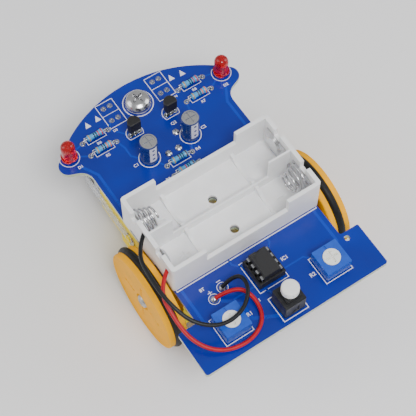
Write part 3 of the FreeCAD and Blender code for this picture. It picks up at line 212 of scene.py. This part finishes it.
for nm, c in (("brown", (92, 44, 20)), ("blackband", (18, 18, 20)), ("redband", (190, 30, 26)), ("orange", (226, 104, 20)), ("gold", (186, 140, 60))):
    surface("band_" + nm, lin(*c), 0.35, vary=0.15, scale=1500, bump=0.15, bscale=2600)

ASSIGN = {
    "circuit_board": "board", "solder_joints": "tin", "component_pins": "wire", "resistor_leads": "wire",
    "chip_socket": "socket", "chip": "chip", "trimmer_housings": "trimmer", "trimmer_rotor_left": "rotor",
    "trimmer_rotor_right": "rotor", "switch_body": "switch", "switch_button": "button", "resistors": "resistor",
    "capacitors": "sleeve", "transistors": "transistor", "indicator_leds": "led_red", "sensor_leds": "led_clear",
    "light_sensors": "ldr", "caster_bolt": "nickel", "caster_nut": "nickel", "caster_cap_nut": "nickel",
    "battery_holder": "holder", "battery_springs": "nickel", "battery_contacts": "nickel", "holder_pad": "foam",
    "gearbox_screws": "zinc", "gear_pins": "steel", "motor_magnets": "ferrite", "motor_terminals": "copper",
    "foam_pads": "foam"}
for s in ("left", "right"):
    for k, v in {"gearbox_inner": "yellow", "gearbox_outer": "yellow", "motor_can": "can", "motor_end_cap": "end_cap",
                 "motor_rotor": "steel", "crown_gear": "nylon", "middle_gear": "nylon", "output_shaft": "nylon",
                 "wheel": "wheel", "tyre": "tyre", "wheel_screw": "zinc", "motor_strap": "strap"}.items():
        ASSIGN[s + "_" + k] = v

BEVEL = {"circuit_board": 0.08, "chip_socket": 0.12, "chip": 0.1, "trimmer_housings": 0.15, "switch_body": 0.2, "switch_button": 0.15,
         "transistors": 0.12, "battery_holder": 0.22, "caster_nut": 0.12, "caster_cap_nut": 0.12, "caster_bolt": 0.1,
         "left_gearbox_inner": 0.25, "left_gearbox_outer": 0.25, "right_gearbox_inner": 0.25, "right_gearbox_outer": 0.25,
         "left_wheel": 0.16, "right_wheel": 0.16, "left_motor_can": 0.2, "right_motor_can": 0.2,
         "left_motor_end_cap": 0.15, "right_motor_end_cap": 0.15, "left_output_shaft": 0.12, "right_output_shaft": 0.12,
         "left_wheel_screw": 0.08, "right_wheel_screw": 0.08, "trimmer_rotor_left": 0.08, "trimmer_rotor_right": 0.08,
         "left_motor_strap": 0.08, "right_motor_strap": 0.08, "foam_pads": 0.08, "holder_pad": 0.08, "gearbox_screws": 0.06}

for n, o in nodes.items():
    if n in ASSIGN:
        o.data.materials.clear()
        o.data.materials.append(mats[ASSIGN[n]])
    if n in BEVEL:
        if "custom_normal" in o.data.attributes:
            o.data.attributes.remove(o.data.attributes["custom_normal"])
        for p in o.data.polygons:
            p.use_smooth = True
        w = o.modifiers.new("weld", "WELD")
        w.merge_threshold = 0.000002
        b = o.modifiers.new("bevel", "BEVEL")
        b.width = BEVEL[n] * MM
        b.segments = 2
        b.limit_method = "ANGLE"
        b.angle_limit = math.radians(38)
        b.use_clamp_overlap = True
        b.miter_outer = "MITER_ARC"
        wn = o.modifiers.new("normals", "WEIGHTED_NORMAL")
        wn.weight = 80
        wn.keep_sharp = False


# ------------------------------------------------------------------ builders (millimetres in, metres out)
def mesh(name, verts, faces, mat, body="chassis", smooth=False):
    me = bpy.data.meshes.new(name)
    me.from_pydata([(x * MM, y * MM, z * MM) for x, y, z in verts], [], faces)
    me.validate()
    me.update()
    if smooth:
        for p in me.polygons:
            p.use_smooth = True
    o = bpy.data.objects.new(name, me)
    bpy.context.scene.collection.objects.link(o)
    o.data.materials.append(mats[mat])
    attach(o, body)
    return o


class Ink:
    """Collects thin printed or laid shapes into one mesh."""

    def __init__(self, z, up=1, t=0.02):
        self.v, self.f, self.z, self.up, self.t = [], [], z, up, t
        self.base, self.count = t, 0

    def layer(self):
        """Each stroke lies a hair above the last, so that crossing strokes never share a plane."""
        self.count += 1
        self.t = self.base + 0.0016 * (self.count % 7)

    def poly(self, pts):
        """Closed outline, convex, as (u, y)."""
        n = len(pts)
        area = sum(pts[i][0] * pts[(i + 1) % n][1] - pts[(i + 1) % n][0] * pts[i][1] for i in range(n))
        if (area < 0) == (self.up > 0):
            pts = list(reversed(pts))
        b = len(self.v)
        for u, y in pts:
            self.v.append((X(u), y, self.z))
        for u, y in pts:
            self.v.append((X(u), y, self.z + self.up * self.t))
        self.f.append(list(range(b + n, b + 2 * n)))
        for i in range(n):
            j = (i + 1) % n
            self.f.append([b + i, b + j, b + n + j, b + n + i])

    def strip(self, pts, w, closed=False):
        """A line of width w through (u, y) points, mitred at its corners."""
        self.layer()
        m = len(pts)
        seg = []
        for i in range(m if closed else m - 1):
            a, b = pts[i], pts[(i + 1) % m]
            l = math.hypot(b[0] - a[0], b[1] - a[1])
            seg.append(((b[0] - a[0]) / l, (b[1] - a[1]) / l))
        side = []
        for i in range(m):
            d0 = seg[i - 1] if (closed or i > 0) else None
            d1 = seg[i] if (closed or i < m - 1) else None
            x, y = pts[i]
            if d0 is None:
                x, y, d = x - d1[0] * w * 0.35, y - d1[1] * w * 0.35, d1
                nx, ny = -d[1] * w / 2, d[0] * w / 2
            elif d1 is None:
                x, y, d = x + d0[0] * w * 0.35, y + d0[1] * w * 0.35, d0
                nx, ny = -d[1] * w / 2, d[0] * w / 2
            else:
                bx, by = -(d0[1] + d1[1]), d0[0] + d1[0]
                bl = math.hypot(bx, by)
                bx, by = bx / bl, by / bl
                k = w / 2 / max(0.35, bx * -d0[1] + by * d0[0])
                nx, ny = bx * k, by * k
            side.append(((x + nx, y + ny), (x - nx, y - ny)))
        for i in range(m if closed else m - 1):
            a, b = side[i], side[(i + 1) % m]
            self.poly([a[0], a[1], b[1], b[0]])

    def ring(self, u, y, r0, r1, a0=0, a1=360, n=40):
        self.layer()
        for i in range(n):
            a = math.radians(a0 + (a1 - a0) * i / n)
            b = math.radians(a0 + (a1 - a0) * (i + 1) / n)
            self.poly([(u + r0 * math.cos(a), y + r0 * math.sin(a)), (u + r1 * math.cos(a), y + r1 * math.sin(a)),
                       (u + r1 * math.cos(b), y + r1 * math.sin(b)), (u + r0 * math.cos(b), y + r0 * math.sin(b))])

    def rect(self, u0, u1, y0, y1, w):
        self.strip([(u0, y0), (u1, y0), (u1, y1), (u0, y1)], w, True)

    def text(self, s, u, y, size, turn=-90):
        """Letters centred on (u, y); turned so that they read with the front of the car upwards."""
        self.layer()
        cu = bpy.data.curves.new("t", "FONT")
        cu.body = s
        cu.size = size
        cu.align_x = "CENTER"
        cu.align_y = "CENTER"
        cu.offset = 0.03 * size
        ob = bpy.data.objects.new("t", cu)
        bpy.context.scene.collection.objects.link(ob)
        dg = bpy.context.evaluated_depsgraph_get()
        me = bpy.data.meshes.new_from_object(ob.evaluated_get(dg))
        a = math.radians(turn)
        b = len(self.v)
        for v in me.vertices:
            x, yy = v.co.x, v.co.y * self.up
            self.v.append((X(u) + x * math.cos(a) - yy * math.sin(a), y + x * math.sin(a) + yy * math.cos(a),
                           self.z + self.up * self.t))
        for p in me.polygons:
            self.f.append([b + i for i in p.vertices])
        bpy.data.objects.remove(ob)
        bpy.data.meshes.remove(me)
        bpy.data.curves.remove(cu)

    def make(self, name, mat):
        return mesh(name, self.v, self.f, mat)


def spin(profile, axis, u, y, z, seg=40):
    """Turned piece: (radius, height) pairs about an axis "x", "y" or "z" through (u, y, z)."""
    v, f = [], []
    n = len(profile)
    for i in range(seg):
        a = 2 * math.pi * i / seg
        for r, h in profile:
            c, s = r * math.cos(a), r * math.sin(a)
            if axis == "z":
                v.append((X(u) + c, y + s, z + h))
            elif axis == "y":
                v.append((X(u) + s, y + h, z + c))
            else:
                v.append((X(u) + h, y + c, z + s))
    for i in range(seg):
        j = (i + 1) % seg
        for k in range(n - 1):
            f.append([i * n + k, j * n + k, j * n + k + 1, i * n + k + 1])
    return v, f


def join(lists):
    v, f = [], []
    for a, b in lists:
        k = len(v)
        v.extend(a)
        f.extend([[i + k for i in q] for q in b])
    return v, f


def block(u0, u1, y0, y1, z0, z1):
    v = [(X(u), y, z) for u in (u0, u1) for y in (y0, y1) for z in (z0, z1)]
    f = [[0, 1, 3, 2], [4, 6, 7, 5], [0, 4, 5, 1], [2, 3, 7, 6], [0, 2, 6, 4], [1, 5, 7, 3]]
    return v, f


# ------------------------------------------------------------------ printed outlines on the board
ink = Ink(TOP)
W = 0.22
for u in (29.2, 61.3):
    ink.strip([(u, -27.6), (u, 27.6)], 0.42)
for s in (-1, 1):
    ink.strip([(29.2, s * 27.6), (61.3, s * 27.6)], 0.3)
    # trimmers
    ink.rect(10 - 5.2, 10 + 5.2, s * 19.5 - 5.2, s * 19.5 + 5.2, 0.28)
    # capacitors
    ink.ring(76, s * 8.3, 3.55, 3.85)
    ink.strip([(80.9, s * 8.3 - 0.9), (80.9, s * 8.3 + 0.9)], 0.26)
    ink.strip([(80.0, s * 8.3), (81.8, s * 8.3)], 0.26)
    # transistors
    ink.ring(87, s * 7.3, 2.9, 3.15, -122, 122, 26)
    ink.strip([(87 - 1.65, s * 7.3 - 2.55), (87 - 1.65, s * 7.3 + 2.55)], 0.25)
    # floor sensors on the underside
    ink.rect(92.9, 104.0 - 0.6, s * 10 - 3.3, s * 10 + 3.3, 0.25)
    ink.strip([(98.3, s * 10 - 3.3), (98.3, s * 10 + 3.3)], 0.2)
    # wing-tip lamps
    ink.ring(91, s * 31, 3.35, 3.6, 38, 322)
    ink.strip([(91 + 2.75, s * 31 - 2.1), (91 + 2.75, s * 31 + 2.1)], 0.22)
    # arrowheads on the front edge
    for du in (-1.7, 1.7):
        c = s * 17.2 + du * 1.25
        uu = 99.6 - abs(c - s * 14.0) * 0.1
        ink.poly([(uu - 1.5, c - 1.1), (uu - 1.5, c + 1.1), (uu + 0.9, c)])
for u, y in ((65.5, 0), (70, 0), (87.6, 19.4), (93.2, 19.4), (87.6, -19.4), (93.2, -19.4)):
    ink.rect(u - 1.5, u + 1.5, y - 3.6, y + 3.6, W)
    for s in (-1, 1):
        ink.strip([(u, y + s * 3.6), (u, y + s * 4.3)], W)
# chip
ink.strip([(13.9, -5.6), (26.2, -5.6), (26.2, 5.6), (13.9, 5.6)], 0.26, True)
ink.ring(26.2, 0, 1.1, 1.35, 90, 270, 12)
# switch
ink.rect(1.5, 10.9, -4.7, 4.7, 0.28)
# caster ring
ink.ring(96.5, 0, 5.15, 5.5)
# battery lead pads
for u, y in ((20.5, 19.0), (22.5, 14.5)):
    ink.ring(u, y, 1.75, 1.95, n=24)
ink.strip([(20.5 + 2.6, 19.0 - 0.7), (20.5 + 2.6, 19.0 + 0.7)], 0.24)
ink.strip([(20.5 + 1.9, 19.0), (20.5 + 3.3, 19.0)], 0.24)
ink.strip([(22.5 + 2.6, 14.5 - 0.7), (22.5 + 2.6, 14.5 + 0.7)], 0.24)
for s, u, y, z in (("R1", 10, 12.4, 1.9), ("R2", 10, -12.4, 1.9), ("S1", 12.2, 7.4, 1.6), ("IC1", 20, -8.2, 1.8), ("R3", 65.5, 7.4, 1.6),
                   ("R4", 70, -7.4, 1.6), ("C1", 76, 13.6, 1.6), ("C2", 76, -13.6, 1.6), ("Q1", 83.0, 6.0, 1.6), ("Q2", 83.0, -6.0, 1.6),
                   ("R5", 84.7, 19.4, 1.5), ("R6", 90.4, 19.4, 1.5), ("R7", 84.7, -19.4, 1.5), ("R8", 90.4, -19.4, 1.5), ("D1", 85.9, 29.6, 1.5),
                   ("D2", 85.9, -29.6, 1.5), ("D3", 91.6, 12.2, 1.3), ("D4", 91.6, -12.2, 1.3), ("BT", 25.4, 20.6, 1.5), ("C", 73.5, 0, 0.01)):
    if z > 0.1:
        ink.text(s, u, y, z)
ink.make("board_print", "silk")

# copper runs under the blue resist, both faces
for up, z, nm in ((1, TOP, "runs_top"), (-1, LOW, "runs_low")):
    tr = Ink(z, up, 0.012)
    for s in (-1, 1):
        tr.strip([(12.5, s * 18.2), (17, s * 13.5), (17, s * 5.6), (17.5, s * 3.9)], 0.6)
        tr.strip([(10, s * 20.8), (15.6, s * 26.2), (28, s * 26.2), (66, s * 26.2), (80, s * 26.2), (86, s * 29.5)], 1.0)
        tr.strip([(23.8, s * 3.9), (27.5, s * 7.5), (62, s * 7.5), (64.4, s * 5.2)], 0.6)
        tr.strip([(70, s * 5.1), (73.4, s * 7.05)], 0.6)
        tr.strip([(76, s * 9.6), (80, s * 13.2), (84, s * 13.2), (87.6, s * 14.3)], 0.7)
        tr.strip([(87, s * 9.0), (91.5, s * 12.6), (93.2, s * 14.3)], 0.6)
        tr.strip([(87.6, s * 24.5), (90.2, s * 29.0)], 0.6)
        tr.strip([(93.2, s * 24.5), (92.2, s * 29.2)], 0.6)
        tr.strip([(93.2, s * 14.3), (95.6, s * 11.3)], 0.5)
        tr.strip([(8.2, s * 2.3), (12.5, s * 2.3), (14.6, s * 3.4)], 0.7)
        if up < 0:
            tr.strip([(79.5, s * 4.6), (84.5, s * 5.6), (87, s * 5.6)], 1.2)
            tr.strip([(73.8, s * 2.0), (76, s * 0.9), (90, s * 0.9)], 1.2)
            tr.poly([(64.0, s * 20), (64.0, s * 25), (80, s * 25), (80, s * 20)])
    if up > 0:
        tr.strip([(20.5, 19.0), (14.2, 12.5), (8.2, 12.5), (4.2, 4.6), (4.2, 2.4)], 1.2)
    tr.make(nm, "trace")

# tinned pads round every leg, both faces
pads = []
LEGS = []
for i in (-3.81, -1.27, 1.27, 3.81):
    for s in (-1, 1):
        LEGS.append((20 + i, s * 3.81))
for s in (-1, 1):
    for du, dy in ((-2.54, -1.27), (0, 1.27), (2.54, -1.27)):
        LEGS.append((10 + du, s * (19.5 + dy)))
    for du in (-2, 0, 2):
        LEGS.append((6.2 + du, s * 2.25))
    LEGS += [(76, s * 7.05), (76, s * 9.55), (87, s * 5.6), (87, s * 7.3), (87, s * 9.0), (89.73, s * 31), (92.27, s * 31),
             (101.1, s * 8.73), (101.1, s * 11.27), (95.6, s * 8.73), (95.6, s * 11.27), (79.5, s * 4.6), (73.8, s * 2.0)]
for u, y in ((65.5, 0), (70, 0), (87.6, 19.4), (93.2, 19.4), (87.6, -19.4), (93.2, -19.4)):
    LEGS += [(u, y - 5.08), (u, y + 5.08)]
LEGS += [(20.5, 19.0), (22.5, 14.5)]
for up, z in ((1, TOP), (-1, LOW)):
    pd = Ink(z, up, 0.03)
    for u, y in LEGS:
        pd.ring(u, y, 0.5, 0.98, n=18)
    pd.ring(96.5, 0, 2.65, 4.3, n=36)
    for u in (37, 50):
        pd.ring(u, 0, 1.65, 2.75, n=30)
    pd.make("pads_top" if up > 0 else "pads_low", "tin")

# ------------------------------------------------------------------ cords
ROUTES = {
    "battery_lead_red": ([(33.7, 27.8, 43.9), (28.8, 34.4, 44.8), (19.6, 35.3, 41.6), (10.4, 33.8, 37.2), (3.4, 27.6, 34.7), (1.6, 17.6, 33.9), (5.6, 9.6, 34.0),
                         (13.8, 8.2, 35.2), (19.4, 12.0, 36.6), (20.4, 18.7, 33.6)], 1.4, "lead_red"),
    "battery_lead_black": ([(47.6, 27.8, 46.1), (42.2, 34.0, 47.2), (32.6, 35.2, 47.2), (22.9, 34.8, 45.8), (13.8, 31.4, 42.6), (8.7, 23.6, 40.2), (9.8, 14.6, 39.9),
                           (15.6, 8.9, 41.0), (22.6, 9.2, 38.4), (22.4, 14.8, 33.6)], 1.4, "lead_black"),
}
BLK_M = [(93.75, 17.6, 27.1), (98.4, 15.0, 25.0), (98.9, 8.3, 23.9), (90.6, 5.2, 23.0), (83.0, 4.9, 26.0), (79.5, 4.6, 30.85)]
RED_M = [(93.75, 17.6, 10.9), (98.4, 17.4, 14.8), (98.5, 8.6, 21.4), (89.9, 3.4, 19.0), (81.6, 2.6, 21.4), (75.4, 2.6, 26.6),
         (73.8, 2.0, 31.0)]
for s, nm in ((1, "left"), (-1, "right")):
    ROUTES[nm + "_motor_lead_black"] = ([(a, s * b, c) for a, b, c in BLK_M], 1.2, "lead_black")
    ROUTES[nm + "_motor_lead_red"] = ([(a, s * b, c) for a, b, c in RED_M], 1.2, "lead_red")

for name, (route, d, mat) in ROUTES.items():
    cu = bpy.data.curves.new(name + "_line", "CURVE")
    cu.dimensions = "3D"
    sp = cu.splines.new("NURBS")
    sp.points.add(len(route) - 1)
    for i, (u, y, z) in enumerate(route):
        sp.points[i].co = (X(u) * MM, y * MM, z * MM, 1.0)
        sp.points[i].radius = d / 2 * MM
    sp.order_u = 3
    sp.use_endpoint_u = True
    sp.resolution_u = 16
    cu.bevel_depth = 1.0
    cu.bevel_resolution = 6
    cu.use_fill_caps = True
    ob = bpy.data.objects.new(name + "_line", cu)
    bpy.context.scene.collection.objects.link(ob)
    cu.materials.append(mats[mat])
    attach(ob, "chassis")
    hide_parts(name)
    # points along the curve, read with the bevel taken off for a moment
    keep = cu.bevel_depth
    cu.bevel_depth = 0.0
    bpy.context.view_layer.update()
    dg = bpy.context.evaluated_depsgraph_get()
    me = bpy.data.meshes.new_from_object(ob.evaluated_get(dg))
    pts = [v.co.copy() for v in me.vertices]
    bpy.data.meshes.remove(me)
    cu.bevel_depth = keep
    bpy.context.view_layer.update()
    u, y, z = route[0]

# ------------------------------------------------------------------ small details
# resistor colour bands
BANDS = [["brown", "blackband", "blackband", "redband"], ["brown", "blackband", "blackband", "brown"], ["orange", "orange", "blackband", "brown"],
         ["redband", "redband", "blackband", "blackband"], ["orange", "orange", "blackband", "brown"], ["redband", "redband", "blackband", "blackband"]]
per = {}
for (u, y), cols in zip(((65.5, 0), (70, 0), (87.6, 19.4), (93.2, 19.4), (87.6, -19.4), (93.2, -19.4)), BANDS):
    for i, c in enumerate(cols + ["gold"]):
        h = (-2.45, -1.15, -0.35, 0.45, 2.45)[i]
        r = 1.2 if abs(h) > 2 else 0.965
        per.setdefault(c, []).append(spin([(r, h - 0.2), (r + 0.012, h - 0.17), (r + 0.012, h + 0.17), (r, h + 0.2)], "y", u, y, TOP + 1.35, 24))
for c, ls in per.items():
    v, f = join(ls)
    mesh("resistor_bands_" + c, v, f, "band_" + c, smooth=True)

# capacitor polarity stripe
for s, nm in ((1, "left"), (-1, "right")):
    v, f = [], []
    z0 = TOP + 0.3
    k = 0
    for i in range(9):
        a = math.radians(180 - 26 + 52 * i / 8)
        for z in (z0 + 1.9, z0 + 10.5):
            v.append((X(76) + 3.115 * math.cos(a), s * 8.3 + 3.115 * math.sin(a), z))
    for i in range(8):
        f.append([2 * i, 2 * i + 2, 2 * i + 3, 2 * i + 1])
    mesh("capacitor_stripe_" + nm, v, f, "silk", smooth=True)
    # minus marks on the stripe
    ls = []
    for j in range(3):
        z = z0 + 3.2 + j * 2.7
        v2 = []
        for i in range(5):
            a = math.radians(180 - 8 + 16 * i / 4)
            for zz in (z, z + 0.9):
                v2.append((X(76) + 3.13 * math.cos(a), s * 8.3 + 3.13 * math.sin(a), zz))
        ls.append((v2, [[2 * i, 2 * i + 2, 2 * i + 3, 2 * i + 1] for i in range(4)]))
    v, f = join(ls)
    mesh("capacitor_marks_" + nm, v, f, "sleeve", smooth=True)

# lamp insides: the two posts and the cup
ls = []
for s in (-1, 1):
    for u, y, z, d in ((91.0, s * 31.0, TOP + 0.8, 1), (101.1, s * 10.0, 16.6, -1)):
        for sg, w, hgt in ((-1, 0.95, 4.4), (1, 0.5, 4.6)):
            if d > 0:
                a = block(u + sg * 1.27 - 0.25, u + sg * 1.27 + 0.25, y - 0.25, y + 0.25, z + 0.05, z + 2.2)
                b = block(u + sg * (0.35 + w / 2) - w / 2, u + sg * (0.35 + w / 2) + w / 2, y - 0.22, y + 0.22, z + 2.0, z + hgt)
            else:
                a = block(u - 0.25, u + 0.25, y + sg * 1.27 - 0.25, y + sg * 1.27 + 0.25, z - 2.2, z - 0.05)
                b = block(u - 0.22, u + 0.22, y + sg * (0.35 + w / 2) - w / 2, y + sg * (0.35 + w / 2) + w / 2, z - hgt, z - 2.0)
            ls += [a, b]
v, f = join(ls)
mesh("lamp_posts", v, f, "wire")

# light sensor tracks: a zigzag on the face that looks down
for s, nm in ((1, "left"), (-1, "right")):
    tr = Ink(9.75, -1, 0.02)
    pts = []
    for i in range(7):
        u = 95.6 - 1.35 + i * 0.45
        half = math.sqrt(max(0.05, 1.75 ** 2 - (u - 95.6) ** 2))
        e = 1 if i % 2 else -1
        pts += [(u, s * 10 + e * half), (u, s * 10 - e * half)]
    tr.strip(pts, 0.2)
    tr.make("sensor_track_" + nm, "ldr_track")

# solder on the motor terminals
ls = []
for s in (-1, 1):
    for z in (10.9, 27.1):
        ls.append(spin([(0.0, -0.95), (0.55, -0.8), (0.95, -0.2), (0.9, 0.35), (0.45, 0.8), (0.0, 0.95)], "z", 93.0, s * 17.6, z, 16))
v, f = join(ls)
mesh("terminal_solder", v, f, "tin", smooth=True)
# solder where the battery leads meet the board
ls = []
for u, y in ((20.5, 19.0), (22.5, 14.5)):
    ls.append(spin([(1.35, 0.0), (1.2, 0.35), (0.75, 0.75), (0.3, 1.0), (0.0, 1.05)], "z", u, y, TOP, 20))
v, f = join(ls)
mesh("lead_solder", v, f, "tin", smooth=True)

# ------------------------------------------------------------------ floor, light, camera
bpy.ops.mesh.primitive_plane_add(size=6.0, location=(0, 0, 0))
floor = bpy.context.object
floor.name = "floor"
fm, fnt, fp = new_mat("floor")
fp.inputs["Base Color"].default_value = (0.86, 0.86, 0.87, 1)
fp.inputs["Roughness"].default_value = 0.75
floor.data.materials.append(fm)

w = bpy.data.worlds.new("studio")
bpy.context.scene.world = w
w.use_nodes = True
bg = w.node_tree.nodes["Background"]
bg.inputs["Color"].default_value = (1, 1, 1, 1)
bg.inputs["Strength"].default_value = 0.50


def area(name, loc, size, power, target=(0, 0, 0.02)):
    l = bpy.data.lights.new(name, "AREA")
    l.shape = "DISK"
    l.size = size
    l.energy = power
    o = bpy.data.objects.new(name, l)
    bpy.context.scene.collection.objects.link(o)
    o.location = loc
    d = Vector(target) - Vector(loc)
    o.rotation_mode = "QUATERNION"
    o.rotation_quaternion = d.to_track_quat("-Z", "Y")
    return o


area("key", (-0.42, 0.06, 0.80), 0.42, 6.6)
area("fill", (0.34, 0.60, 0.42), 0.6, 1.9)
area("back", (-0.20, -0.62, 0.40), 0.5, 1.8)

lo, hi = BOUNDS_CAD
centre = (lo + hi) / 2
cam = bpy.data.cameras.new("camera")
cam.sensor_width = 36
cam.lens = 18.0 / math.tan(math.radians(17.4 / 2))
cam.clip_start = 0.01
cam.clip_end = 10
co = bpy.data.objects.new("camera", cam)
bpy.context.scene.collection.objects.link(co)
back = Vector((-0.380, 0.253, 0.890)).normalized()
co.location = centre + back * 0.462
co.rotation_mode = "QUATERNION"
co.rotation_quaternion = (-back).to_track_quat("-Z", "Y")
bpy.context.scene.camera = co
